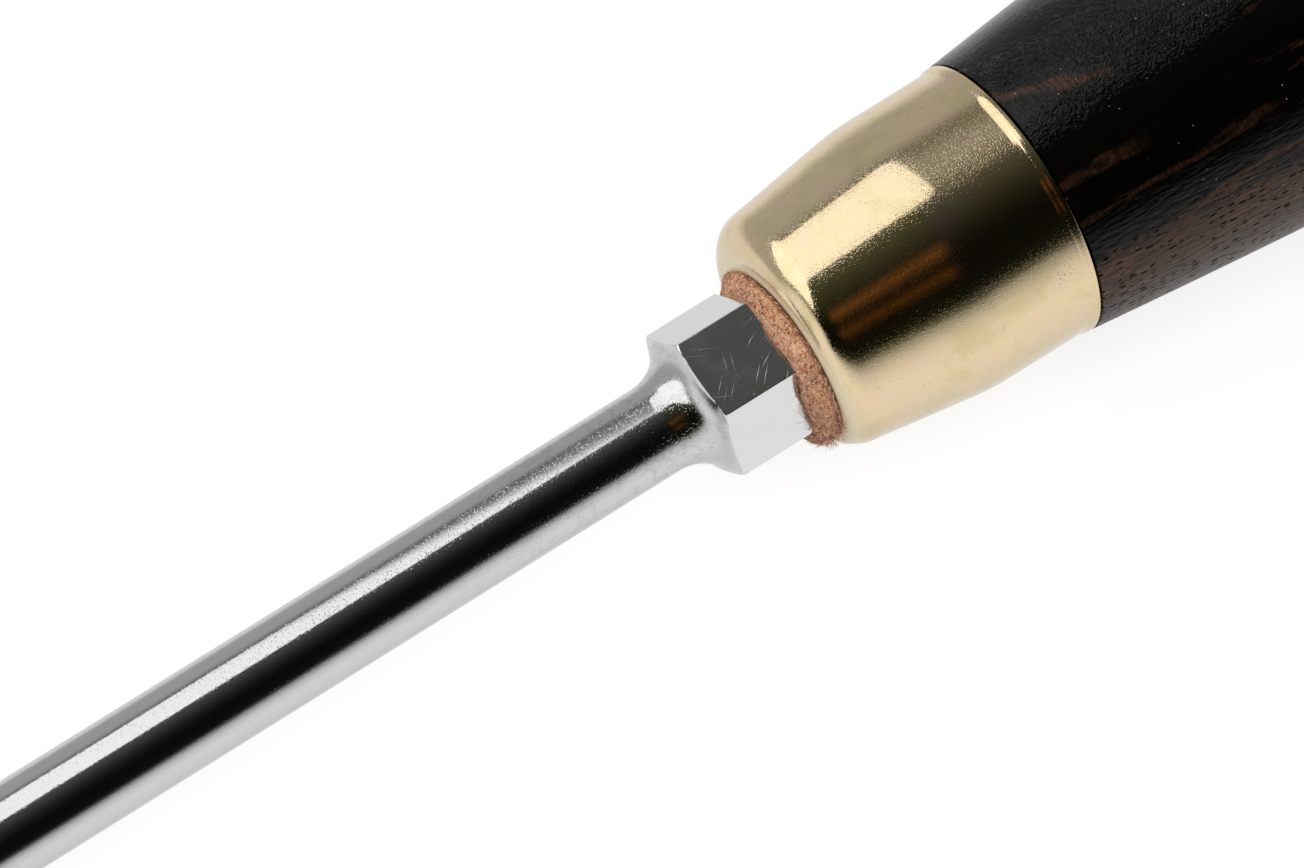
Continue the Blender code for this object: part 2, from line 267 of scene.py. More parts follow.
# Slant of the scratches in degrees, and their length in mm.
SCRATCHES = [(26, 13), (-45, 9), (67, 7), (109, 11), (-14, 8), (48, 5), (84, 6), (151, 9)]
SCRATCH_SPACING = 0.30 * MM
NICK_SIZE = 0.38 * MM
NICK_RADII = (5.26 * MM, 5.46 * MM)
CLOUD_SIZE = 2.5 * MM
WATER_MARK_SIZE = 2.0 * MM
PIN_HOLE_SPACING = 0.26 * MM
# Zones along the blade, from where each begins to where it is full, and where the neck's fades out.
FLATS_ZONE = (99.6 * MM, 99.9 * MM)
NECK_ZONE = (93.0 * MM, 96.5 * MM)
NECK_FADE = (98.2 * MM, 99.2 * MM)
DEEP_GRAIN_ZONE = (58 * MM, 86 * MM)
WALL_ZONE = (98.5 * MM, 99.2 * MM)
WATER_ZONE = (78 * MM, 94 * MM)
chrome, tree = new_material("bright_chrome_plating")
place = add_node(tree, "TexCoord", {}, gives="Object")
along = add_node(tree, "SeparateXYZ", {"Vector": place})
on_flats = add_node(tree, "MapRange", {
    "Value": along, "From Min": FLATS_ZONE[0], "From Max": FLATS_ZONE[1]})
off_flats = add_node(tree, "Math", {0: 1.0, 1: on_flats}, operation="SUBTRACT")
neck_start = add_node(tree, "MapRange", {
    "Value": along, "From Min": NECK_ZONE[0], "From Max": NECK_ZONE[1]}, interpolation_type="SMOOTHSTEP")
neck_end = add_node(tree, "MapRange", {
    "Value": along, "From Min": NECK_FADE[0], "From Max": NECK_FADE[1], "To Min": 1.0, "To Max": 0.0},
    interpolation_type="SMOOTHSTEP")
on_neck = add_node(tree, "Math", {0: neck_start, 1: neck_end}, operation="MULTIPLY")
grain = add_node(tree, "TexNoise", {"Vector": place, "Scale": 1 / CHROME_GRAIN, "Detail": 1.0})
mounds = add_node(tree, "MapRange", {"Value": grain, "From Min": 0.58, "From Max": 0.88})
pit_cells = add_node(tree, "TexVoronoi", {"Vector": place, "Scale": 1 / CHROME_PITS})
pits = add_dents(tree, pit_cells, rarest=0.55, deepest=1.0, reach=0.17)
sandy = add_node(tree, "Math", {0: pits, 1: -0.8, 2: mounds}, operation="MULTIPLY_ADD")
shank_depth = add_node(tree, "MapRange", {
    "Value": along, "From Min": DEEP_GRAIN_ZONE[0], "From Max": DEEP_GRAIN_ZONE[1], "To Min": 0.45,
    "To Max": 1.0})
grain_depth = add_node(tree, "MapRange", {"Value": on_flats, "To Min": shank_depth, "To Max": 0.1})
neck_depth = add_node(tree, "Math", {0: on_neck, 1: 0.8, 2: grain_depth}, operation="MULTIPLY_ADD")
grain_height = add_node(tree, "Math", {0: sandy, 1: neck_depth}, operation="MULTIPLY")
plating_bump = add_node(tree, "Bump", {
    "Height": grain_height, "Strength": 1.0, "Distance": CHROME_GRAIN_HEIGHT})

belt_place = add_node(tree, "Mapping", {"Vector": place, "Scale": pattern_scale(*BELT_LINES)})
belt = add_node(tree, "TexNoise", {"Vector": belt_place, "Scale": 1.0, "Detail": 2.0})
marks = add_node(tree, "Math", {0: belt, 1: 0.42}, operation="MULTIPLY")
# Off the flats the scuffs start at 1, which is taken away again below, so that none show there.
scuffs = off_flats
for slant, reach in SCRATCHES:
    turned = add_node(tree, "Mapping", {"Vector": place, "Rotation": (0, 0, math.radians(slant))})
    drawn = add_node(tree, "Mapping", {
        "Vector": turned, "Scale": (1 / (reach * MM), 1 / SCRATCH_SPACING, 1)})
    lines = add_node(tree, "TexVoronoi", {"Vector": drawn, "Scale": 1.0}, voronoi_dimensions="2D")
    hairs = add_dents(tree, lines, rarest=0.50, deepest=1.0, reach=0.10)
    marks = add_node(tree, "Math", {0: hairs, 1: -0.5, 2: marks}, operation="MULTIPLY_ADD")
    scuffs = add_node(tree, "Math", {0: scuffs, 1: hairs}, operation="MAXIMUM")
across = add_node(tree, "Mapping", {"Vector": place, "Scale": (0, 1, 1)})
from_axis = add_node(tree, "VectorMath", {0: across}, operation="LENGTH")
at_edges = add_node(tree, "MapRange", {
    "Value": from_axis, "From Min": NICK_RADII[0], "From Max": NICK_RADII[1]})
nick_cells = add_node(tree, "TexVoronoi", {"Vector": place, "Scale": 1 / NICK_SIZE})
nick_dents = add_dents(tree, nick_cells, rarest=0.6, deepest=0.9, reach=0.38)
nicks = add_node(tree, "Math", {0: nick_dents, 1: at_edges}, operation="MULTIPLY")
nicked = add_node(tree, "Math", {0: nicks, 1: -1.8, 2: marks}, operation="MULTIPLY_ADD")
mark_height = add_node(tree, "Math", {0: nicked, 1: on_flats}, operation="MULTIPLY")
mark_bump = add_node(tree, "Bump", {
    "Height": mark_height, "Strength": 1.0, "Distance": BELT_HEIGHT, "Normal": plating_bump})

cloud = add_node(tree, "TexNoise", {
    "Vector": place, "Scale": 1 / CLOUD_SIZE, "Detail": 5.0, "Roughness": 0.6})
cloud_rough = add_node(tree, "MapRange", {
    "Value": cloud, "From Min": 0.35, "From Max": 0.7, "To Min": 0.03, "To Max": 0.06})
neck_rough = add_node(tree, "Math", {0: on_neck, 1: 0.03, 2: cloud_rough}, operation="MULTIPLY_ADD")
wall_zone = add_node(tree, "MapRange", {
    "Value": along, "From Min": WALL_ZONE[0], "From Max": WALL_ZONE[1], "To Max": 0.16})
wall_rough = add_node(tree, "Math", {0: wall_zone, 1: off_flats, 2: neck_rough}, operation="MULTIPLY_ADD")
haze = add_node(tree, "MapRange", {"Value": cloud, "From Min": 0.42, "From Max": 0.66, "To Max": 0.085})
hazy = add_node(tree, "Math", {0: haze, 1: on_flats, 2: wall_rough}, operation="MULTIPLY_ADD")
scuffed = add_node(tree, "Math", {0: scuffs, 1: off_flats}, operation="SUBTRACT")
rough = add_node(tree, "Math", {0: scuffed, 1: 0.22, 2: hazy}, operation="MULTIPLY_ADD")
water = add_node(tree, "TexNoise", {
    "Vector": place, "Scale": 1 / WATER_MARK_SIZE, "Detail": 6.0, "Roughness": 0.65})
from_rim = add_node(tree, "Math", {0: water, 1: 0.55}, operation="SUBTRACT")
off_rim = add_node(tree, "Math", {0: from_rim}, operation="ABSOLUTE")
water_rims = add_node(tree, "MapRange", {
    "Value": off_rim, "From Max": 0.045, "To Min": 1.0, "To Max": 0.0})
water_zone = add_node(tree, "MapRange", {
    "Value": along, "From Min": WATER_ZONE[0], "From Max": WATER_ZONE[1], "To Max": 0.26})
water_level = add_node(tree, "Math", {0: water_rims, 1: water_zone}, operation="MULTIPLY")
water_marks = add_node(tree, "Math", {0: water_level, 1: off_flats}, operation="MULTIPLY")
hole_cells = add_node(tree, "TexVoronoi", {"Vector": place, "Scale": 1 / PIN_HOLE_SPACING})
hole_size = add_node(tree, "MapRange", {
    "Value": cloud, "From Min": 0.52, "From Max": 0.70, "To Max": 0.38})
holes = add_node(tree, "Math", {0: hole_cells, 1: hole_size}, operation="LESS_THAN")
hole_level = add_node(tree, "Math", {0: holes, 1: on_neck}, operation="MULTIPLY")
streak = add_node(tree, "MapRange", {
    "Value": belt, "From Min": 0.3, "From Max": 0.7, "To Min": 0.985, "To Max": 1.01})
ground = add_node(tree, "Mix", {
    "Factor": on_flats, "A": srgb("#cecece"), "B": srgb("#dcdcdc")}, data_type="RGBA")
plated = add_node(tree, "Mix", {
    "Factor": 1.0, "A": ground, "B": streak}, data_type="RGBA", blend_type="MULTIPLY")
stained = add_node(tree, "Mix", {
    "Factor": water_marks, "A": plated, "B": srgb("#85807a")}, data_type="RGBA")
colour = add_node(tree, "Mix", {
    "Factor": hole_level, "A": stained, "B": srgb("#4a4846")}, data_type="RGBA")
shader = add_node(tree, "BsdfPrincipled", {
    "Base Color": colour, "Metallic": 1.0, "Roughness": rough, "Normal": mark_bump})
add_node(tree, "OutputMaterial", {"Surface": shader})
blade.data.materials.clear()
blade.data.materials.append(chrome)
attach(blade, "root")
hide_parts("blade")


# Leather washer: a ring cut from thick raw leather and squeezed between the bolster and the ferrule.
# It swells out round the bolster's heel, is worn down on its far side, and its cut edge is hairy.
WASHER_HOLE = 3.95 * MM
WASHER_FRONT = HEEL_X + 0.03 * MM
WASHER_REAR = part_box("brass_ferrule")[0].x - 0.02 * MM
WASHER_REAR_ROUND = 0.22 * MM
WASHER_STEPS = 256
SECTION_STEPS = 44
RIM_LUMPS = 0.05
HEEL_CLEARANCE = 0.02 * MM
WORN_HEEL_EDGE = 4.95 * MM
LIP_LEAN = 0.003 * MM
FRONT_STEPS = 16
REAR_STEPS = 8
NAP_START = 4.9 * MM
NAP_RUN = 0.6 * MM
NAP_SIZE = 0.30 * MM
NAP_HEIGHT = 0.05 * MM
# Angle from straight up towards the front, in degrees, with the rim's radius, how far the front edge
# lies behind the heel, the depth of its rounding, and how far the rounding is worn to a slope.
WASHER_CUT = [(-180, 6.25, 0.10, 0.60, 0.0), (-135, 6.30, 0.10, 0.90, 0.5), (-102, 6.38, 0.08, 1.15, 1.0),
              (-88, 6.18, 0.08, 1.10, 1.0), (-72, 5.98, 0.12, 0.95, 0.7), (-58, 5.88, 0.25, 0.75, 0.3),
              (-42, 5.70, 0.22, 0.60, 0.0), (-20, 5.80, 0.05, 0.60, 0.0), (2, 5.97, -0.14, 0.62, 0.0),
              (30, 6.14, 0.06, 0.60, 0.0), (52, 6.26, -0.20, 0.66, 0.0), (75, 6.36, 0.00, 0.62, 0.0),
              (92, 6.42, 0.20, 0.62, 0.0), (135, 6.30, 0.05, 0.60, 0.0), (180, 6.25, 0.10, 0.60, 0.0)]


def washer_cut(turn):
    """Rim radius, front edge, rounding and wear at one angle round the tang."""
    degrees = (180 - math.degrees(turn)) % 360 - 180
    for here, there in zip(WASHER_CUT, WASHER_CUT[1:]):
        if here[0] <= degrees <= there[0]:
            part = (degrees - here[0]) / (there[0] - here[0])
            ease = part * part * (3 - 2 * part)
            return [a + (b - a) * ease for a, b in zip(here[1:], there[1:])]


def washer_section(turn):
    """Cross-section at one angle round the tang, as (x, radius) points."""
    rim, front, rounding, wear = washer_cut(turn)
    lump = noise.noise(Vector((math.sin(turn), math.cos(turn), 0.3)) * 3.0)
    rim = (rim + RIM_LUMPS * lump) * MM
    front = HEEL_X + front * MM
    rounding = rounding * MM
    from_flat = (turn + math.pi / 6) % (math.pi / 3) - math.pi / 6
    heel_edge = FLAT_HEIGHT / math.cos(from_flat) + HEEL_CLEARANCE
    heel_edge = heel_edge + (min(heel_edge, WORN_HEEL_EDGE) - heel_edge) * wear
    shoulder = heel_edge + 0.1 * (rim - heel_edge)
    points = [(WASHER_REAR, WASHER_HOLE), (WASHER_FRONT, WASHER_HOLE)]
    points += [(WASHER_FRONT, WASHER_HOLE + (heel_edge - WASHER_HOLE) * i / 4) for i in range(1, 5)]
    points += [(WASHER_FRONT + (front - WASHER_FRONT) * i / 3, heel_edge + LIP_LEAN * i)
               for i in range(1, 4)]
    for i in range(FRONT_STEPS + 1):
        part = i / FRONT_STEPS
        angle = part * math.pi / 2
        back = 1 - math.cos(angle) + (part - 1 + math.cos(angle)) * wear
        out = math.sin(angle) + (part - math.sin(angle)) * wear
        points.append((front + rounding * back, shoulder + (rim - shoulder) * out))
    points.append(((front + rounding + WASHER_REAR - WASHER_REAR_ROUND) / 2, rim))
    for i in range(REAR_STEPS + 1):
        angle = i / REAR_STEPS * math.pi / 2
        points.append((WASHER_REAR - WASHER_REAR_ROUND * (1 - math.sin(angle)),
                       rim - WASHER_REAR_ROUND * (1 - math.cos(angle))))
    inward = rim - WASHER_REAR_ROUND - WASHER_HOLE
    points += [(WASHER_REAR, rim - WASHER_REAR_ROUND - inward * i / 9) for i in range(1, 9)]
    return points


bpy.ops.object.select_all(action="DESELECT")
bpy.ops.mesh.primitive_torus_add(
    major_segments=WASHER_STEPS, minor_segments=SECTION_STEPS, major_radius=5 * MM, minor_radius=1 * MM)
washer = bpy.context.object
washer.name = "leather_washer_ring"
for step in range(WASHER_STEPS):
    turn = step / WASHER_STEPS * math.tau
    for k, (x, radius) in enumerate(washer_section(turn)):
        spot = Vector((x, radius * math.sin(turn), radius * math.cos(turn)))
        showing = min(max((radius - NAP_START) / NAP_RUN, 0.0), 1.0)
        nap = noise.fractal(spot / NAP_SIZE, 0.8, 2.1, 4) * NAP_HEIGHT * showing
        spot += Vector((-0.5 * nap, nap * math.sin(turn), nap * math.cos(turn)))
        washer.data.vertices[step * SECTION_STEPS + k].co = spot
bpy.ops.object.mode_set(mode="EDIT")
bpy.ops.mesh.select_all(action="SELECT")
bpy.ops.mesh.normals_make_consistent(inside=False)
bpy.ops.object.mode_set(mode="OBJECT")
bpy.ops.object.shade_smooth()

# Loose fibres lie along the cut edge. Those on the side towards the front are longer and stand up more.
FIBRE_COUNT = 3400
FIBRE_RADIUS = 0.020 * MM
FIBRE_ROOT = 0.015 * MM
FIBRE_BAND = 5.2 * MM
FIBRE_FRONT = 6.2 * MM
FIBRE_SEED = 12
FIBRE_JOINTS = 4
fibre_curve = bpy.data.curves.new("leather_fibres", "CURVE")
fibre_curve.dimensions = "3D"
fibre_curve.bevel_depth = FIBRE_RADIUS
fibre_curve.bevel_resolution = 0
dice = random.Random(FIBRE_SEED)
roots = [v for v in washer.data.vertices if math.hypot(v.co.y, v.co.z) > FIBRE_BAND]
for root in dice.sample(roots, FIBRE_COUNT):
    if root.normal.x > 0.75:
        continue
    low_edge = max(-root.co.y / FIBRE_FRONT, 0.0) ** 8
    length = (0.22 + 0.30 * dice.random() ** 2 + 0.85 * low_edge * dice.random()) * MM
    sideways = Vector((dice.gauss(0, 1), dice.gauss(0, 1), dice.gauss(0, 1)))
    flat_way = (sideways - root.normal * sideways.dot(root.normal)).normalized()
    heading = (flat_way + root.normal * (0.15 + 0.7 * low_edge)).normalized()
    curl = flat_way.cross(root.normal) * dice.gauss(0, 0.55) - root.normal * (0.10 - 0.10 * low_edge)
    spline = fibre_curve.splines.new("POLY")
    spline.points.add(FIBRE_JOINTS)
    spot = root.co - root.normal * FIBRE_ROOT
    for k, point in enumerate(spline.points):
        point.co = (*spot, 1)
        point.radius = 1.0 - 0.2 * k
        spot = spot + heading * length / FIBRE_JOINTS
        heading = (heading + curl).normalized()
fibres = bpy.data.objects.new("leather_fibres", fibre_curve)
bpy.context.collection.objects.link(fibres)
bpy.ops.object.select_all(action="DESELECT")
bpy.context.view_layer.objects.active = fibres
fibres.select_set(True)
bpy.ops.object.convert(target="MESH")
bpy.ops.object.shade_smooth()

# Raw vegetable-tanned leather, cut and rubbed: matt, pinkish brown, with curly fibres whose hollows are
# darkened by painted shade, and a painted shade of dark brown along the rear edge, where it meets the
# ferrule.
LEATHER_TUFTS = 0.9 * MM
LEATHER_CURLS = 0.20 * MM
LEATHER_CURL_HEIGHT = 0.10 * MM
FIBRE_SHADES = 0.3 * MM
REAR_SHADE_ZONE = (WASHER_REAR - 0.14 * MM, WASHER_REAR + 0.08 * MM)
leather, tree = new_material("raw_leather")
place = add_node(tree, "TexCoord", {}, gives="Object")
along = add_node(tree, "SeparateXYZ", {"Vector": place})
tufts = add_node(tree, "TexNoise", {
    "Vector": place, "Scale": 1 / LEATHER_TUFTS, "Detail": 3.0, "Roughness": 0.6})
curls = add_node(tree, "TexNoise", {
    "Vector": place, "Scale": 1 / LEATHER_CURLS, "Detail": 2.0, "Roughness": 0.6, "Distortion": 1.6})
# Pink to pale is the fibres' own tone; the dark brown at the low end of the curls, where the bump is
# lowest, is painted shade in the hollows.
tone = add_node(tree, "ValToRGB", {"Fac": curls}, stops=[
    (0.36, srgb("#6c3814")), (0.47, srgb("#c48b66")), (0.64, srgb("#eac2a6"))])
tuft_tone = add_node(tree, "MapRange", {
    "Value": tufts, "From Min": 0.32, "From Max": 0.68, "To Min": 0.72, "To Max": 1.15})
raw = add_node(tree, "Mix", {
    "Factor": 1.0, "A": tone, "B": tuft_tone}, data_type="RGBA", blend_type="MULTIPLY")
# Painted shade: dark brown along the rear edge of the washer, against the ferrule's nose, with a ragged
# edge.
rear_shade_edge = add_node(tree, "Math", {0: curls, 1: 0.5 * MM, 2: along}, operation="MULTIPLY_ADD")
painted_rear_shade = add_node(tree, "MapRange", {
    "Value": rear_shade_edge, "From Min": REAR_SHADE_ZONE[0], "From Max": REAR_SHADE_ZONE[1], "To Max": 0.85})
colour = add_node(tree, "Mix", {"Factor": painted_rear_shade, "A": raw, "B": srgb("#5c2c10")}, data_type="RGBA")
curl_bump = add_node(tree, "Bump", {
    "Height": curls, "Strength": 1.0, "Distance": LEATHER_CURL_HEIGHT})
shader = add_node(tree, "BsdfPrincipled", {
    "Base Color": colour, "Roughness": 0.92, "Specular IOR Level": 0.25, "Sheen Weight": 0.3,
    "Sheen Roughness": 0.5, "Sheen Tint": srgb("#e8b8a0"), "Normal": curl_bump})
add_node(tree, "OutputMaterial", {"Surface": shader})
fibre, tree = new_material("leather_fibre")
place = add_node(tree, "TexCoord", {}, gives="Object")
strands = add_node(tree, "TexNoise", {"Vector": place, "Scale": 1 / FIBRE_SHADES})
tone = add_node(tree, "ValToRGB", {"Fac": strands}, stops=[
    (0.42, srgb("#a4623c")), (0.58, srgb("#f2ccb0"))])
shader = add_node(tree, "BsdfPrincipled", {
    "Base Color": tone, "Roughness": 0.8, "Specular IOR Level": 0.3})
add_node(tree, "OutputMaterial", {"Surface": shader})
for piece, material in ((washer, leather), (fibres, fibre)):
    piece.data.materials.clear()
    piece.data.materials.append(material)
    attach(piece, "root")
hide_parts("leather_washer")


# Ferrule: a cup drawn from brass sheet, with a rounded nose, a cone, a short straight body and a lip
# that flares against the wood. It is pressed over the handle's front end and polished on the lathe.
NOSE_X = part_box("brass_ferrule")[0].x
HANDLE_AXIS_Y = 0.6 * MM
FERRULE_HOLE = 4.58 * MM
FERRULE_NOSE = 8.175 * MM
FERRULE_BODY = 9.75 * MM
FERRULE_RIM = 9.92 * MM
FERRULE_CONE_LENGTH = 10.55 * MM
FERRULE_LIP_START = 17.55 * MM
FERRULE_LIP_END = 17.87 * MM
FERRULE_LENGTH = 18.25 * MM
FERRULE_WALL = 1.0 * MM
NOSE_ROUND = 2.3 * MM
NOSE_ROUND_INSIDE = 1.3 * MM
CONE_ROUND = 18 * MM
LIP_ROUND = 0.72 * MM
RIM_ROUND = 0.06 * MM
FERRULE_STEPS = 192
FERRULE_SMOOTHING = math.radians(30)


def round_corners(corners):
    """Outline through (x, radius, rounding, steps) corners, each rounded by an arc."""
    outline = []
    for i, (x, radius, rounding, steps) in enumerate(corners):
        corner = Vector((x, radius))
        if rounding == 0:
            outline.append(tuple(corner))
            continue
        back = (Vector(corners[i - 1][:2]) - corner).normalized()
        ahead = (Vector(corners[(i + 1) % len(corners)][:2]) - corner).normalized()
        half_angle = back.angle(ahead) / 2
        centre = corner + (back + ahead).normalized() * rounding / math.sin(half_angle)
        reach = rounding / math.tan(half_angle)
        first = (corner + back * reach - centre).normalized()
        last = (corner + ahead * reach - centre).normalized()
        outline += [tuple(centre + first.slerp(last, k / steps) * rounding) for k in range(steps + 1)]
    return outline


ferrule_corners = [
    (0, FERRULE_HOLE, 0, 0),
    (0, FERRULE_NOSE, NOSE_ROUND, 24),
    (FERRULE_CONE_LENGTH, FERRULE_BODY, CONE_ROUND, 12),
    (FERRULE_LIP_START, FERRULE_BODY, LIP_ROUND, 12),
    (FERRULE_LIP_END, FERRULE_RIM, LIP_ROUND, 12),
    (FERRULE_LENGTH, FERRULE_RIM, RIM_ROUND, 4),
    (FERRULE_LENGTH, FERRULE_RIM - FERRULE_WALL, 0, 0),
    (FERRULE_LIP_START, FERRULE_BODY - FERRULE_WALL, 0, 0),
    (FERRULE_CONE_LENGTH, FERRULE_BODY - FERRULE_WALL, 0, 0),
    (FERRULE_WALL, FERRULE_NOSE - FERRULE_WALL, NOSE_ROUND_INSIDE, 8),
    (FERRULE_WALL, FERRULE_HOLE, 0, 0),
    (0, FERRULE_HOLE, 0, 0),
]
ferrule_outline = [(NOSE_X + x, radius) for x, radius in round_corners(ferrule_corners)]
ferrule = turn_piece("brass_ferrule_cup", ferrule_outline, FERRULE_STEPS, HANDLE_AXIS_Y)
bpy.ops.object.mode_set(mode="OBJECT")
bpy.ops.object.shade_smooth_by_angle(angle=FERRULE_SMOOTHING)

# Polished yellow brass: a warm mirror with a fine sandy grain and small pits, drawn coarser than they are.
# It has faint olive and pinkish tarnish with small brown spots. By the leather the nose has a thin ring of
# painted shade, and round it a pale matt band of painted reflection.
BRASS_GRAIN = 0.11 * MM
BRASS_GRAIN_HEIGHT = 0.0052 * MM
BRASS_PITS = 0.34 * MM
BRASS_WAVES = 2.5 * MM
BRASS_WAVE_HEIGHT = 0.004 * MM
TARNISH_SIZE = 3.0 * MM
SPOT_SPACING = 0.26 * MM
SPOT_PATCHES = 2.5 * MM
NOSE_ZONE = (NOSE_X + 0.9 * MM, NOSE_X + 1.2 * MM)
LEATHER_SHIFT = (0, 0.33 * MM, 0.15 * MM)
NOSE_SHADE_EDGE = (6.02 * MM, 6.16 * MM)
PAINTED_REFLECTION_EDGE = (6.6 * MM, 7.2 * MM)
brass, tree = new_material("polished_brass")
place = add_node(tree, "TexCoord", {}, gives="Object")
along = add_node(tree, "SeparateXYZ", {"Vector": place})
grain = add_node(tree, "TexNoise", {"Vector": place, "Scale": 1 / BRASS_GRAIN, "Detail": 1.0})
mounds = add_node(tree, "MapRange", {"Value": grain, "From Min": 0.54, "From Max": 0.86})
pit_cells = add_node(tree, "TexVoronoi", {"Vector": place, "Scale": 1 / BRASS_PITS})
pits = add_dents(tree, pit_cells, rarest=0.8, deepest=1.0, reach=0.16)
sandy = add_node(tree, "Math", {0: pits, 1: -1.0, 2: mounds}, operation="MULTIPLY_ADD")
waves = add_node(tree, "TexNoise", {"Vector": place, "Scale": 1 / BRASS_WAVES, "Detail": 2.0})
wave_bump = add_node(tree, "Bump", {
    "Height": waves, "Strength": 1.0, "Distance": BRASS_WAVE_HEIGHT})
grain_bump = add_node(tree, "Bump", {
    "Height": sandy, "Strength": 1.0, "Distance": BRASS_GRAIN_HEIGHT, "Normal": wave_bump})
tarnish = add_node(tree, "TexNoise", {
    "Vector": place, "Scale": 1 / TARNISH_SIZE, "Detail": 5.0, "Roughness": 0.65})
tone = add_node(tree, "ValToRGB", {"Fac": tarnish}, stops=[
    (0.36, srgb("#dbc89d")), (0.50, srgb("#e5d1aa")), (0.64, srgb("#e8ceaf"))])
spot_cells = add_node(tree, "TexVoronoi", {"Vector": place, "Scale": 1 / SPOT_SPACING})
spot_patches = add_node(tree, "TexNoise", {
    "Vector": place, "Scale": 1 / SPOT_PATCHES, "Detail": 4.0, "Roughness": 0.6})
spot_size = add_node(tree, "MapRange", {
    "Value": spot_patches, "From Min": 0.50, "From Max": 0.72, "To Max": 0.40})
spots = add_node(tree, "Math", {0: spot_cells, 1: spot_size}, operation="LESS_THAN")
spot_level = add_node(tree, "Math", {0: spots, 1: 0.36}, operation="MULTIPLY")
spotted = add_node(tree, "Mix", {"Factor": spot_level, "A": tone, "B": srgb("#a8744a")}, data_type="RGBA")
speckle = add_node(tree, "MapRange", {
    "Value": grain, "From Min": 0.25, "From Max": 0.75, "To Min": 0.92, "To Max": 1.04})
speckled = add_node(tree, "Mix", {
    "Factor": 1.0, "A": spotted, "B": speckle}, data_type="RGBA", blend_type="MULTIPLY")
on_nose = add_node(tree, "MapRange", {
    "Value": along, "From Min": NOSE_ZONE[0], "From Max": NOSE_ZONE[1], "To Min": 1.0, "To Max": 0.0})
from_leather = add_node(tree, "Mapping", {
    "Vector": place, "Scale": (0, 1, 1), "Location": LEATHER_SHIFT})
from_middle = add_node(tree, "VectorMath", {0: from_leather}, operation="LENGTH")
# Painted shade: a thin dark brown ring on the nose next to the leather, where the gap between them lies in
# shade.
painted_nose_shade = add_node(tree, "MapRange", {
    "Value": from_middle, "From Min": NOSE_SHADE_EDGE[0], "From Max": NOSE_SHADE_EDGE[1], "To Min": 0.8, "To Max": 0.0})
painted_shade_on_nose = add_node(tree, "Math", {0: painted_nose_shade, 1: on_nose}, operation="MULTIPLY")
# Painted reflection: a pale, matt, less metallic band stands in for the bright table that the nose would
# mirror.
painted_reflection_ramp = add_node(tree, "MapRange", {
    "Value": from_middle, "From Min": PAINTED_REFLECTION_EDGE[0], "From Max": PAINTED_REFLECTION_EDGE[1], "To Min": 1.0,
    "To Max": 0.0})
painted_reflection_zone = add_node(tree, "Math", {0: painted_reflection_ramp, 1: on_nose}, operation="MULTIPLY")
with_painted_reflection = add_node(tree, "Mix", {
    "Factor": painted_reflection_zone, "A": speckled, "B": srgb("#f6ebcb")}, data_type="RGBA")
colour = add_node(tree, "Mix", {"Factor": painted_shade_on_nose, "A": with_painted_reflection, "B": srgb("#6a4a28")}, data_type="RGBA")
rough = add_node(tree, "MapRange", {"Value": painted_reflection_zone, "To Min": 0.05, "To Max": 0.55})
metal = add_node(tree, "MapRange", {"Value": painted_reflection_zone, "To Min": 1.0, "To Max": 0.3})
shader = add_node(tree, "BsdfPrincipled", {
    "Base Color": colour, "Metallic": metal, "Roughness": rough, "Normal": grain_bump})
add_node(tree, "OutputMaterial", {"Surface": shader})
ferrule.data.materials.clear()
ferrule.data.materials.append(brass)
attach(ferrule, "root")
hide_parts("brass_ferrule")


# Handle: turned from hardwood, stained nearly black and oiled. A spigot at its front end fills the
# ferrule, it swells towards the palm and ends in a dome, and two flats keep the tool from rolling.
COLLAR_X = 125.2 * MM
COLLAR_RADIUS = 9.95 * MM
FLARE_SLOPE = 0.115
FLARE_LENGTH = 66.0 * MM
SWELL_RADIUS = 14.5 * MM
TAPER_LENGTH = 21.0 * MM
HEEL_RADIUS = 12.6 * MM
HEEL_SLOPE = -0.24
DOME_LENGTH = 10.0 * MM
DOME_FULLNESS = 0.55
HANDLE_FLAT_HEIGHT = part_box("wooden_handle")[1].z
HANDLE_FLAT_EASE = 0.8 * MM
SPIGOT_RADIUS = 8.4 * MM
SPIGOT_X = NOSE_X + 12 * MM
COLLAR_EDGE = [(0, 0.10 * MM), (0.03 * MM, 0.03 * MM), (0.1 * MM, 0)]
FLARE_STEPS = 66
TAPER_STEPS = 24
DOME_STEPS = 32
HANDLE_STEPS = 176
HANDLE_SMOOTHING = math.radians(35)


def eased_run(start, start_slope, end, end_slope, steps):
    """Smooth run between two (x, radius) points that leaves and arrives at the given slopes."""
    reach = end[0] - start[0]
    points = []
    for i in range(steps + 1):
        t = i / steps
        radius = ((2 * t**3 - 3 * t**2 + 1) * start[1] + (3 * t**2 - 2 * t**3) * end[1]
                  + (t**3 - 2 * t**2 + t) * reach * start_slope + (t**3 - t**2) * reach * end_slope)
        points.append((start[0] + reach * t, radius))
    return points


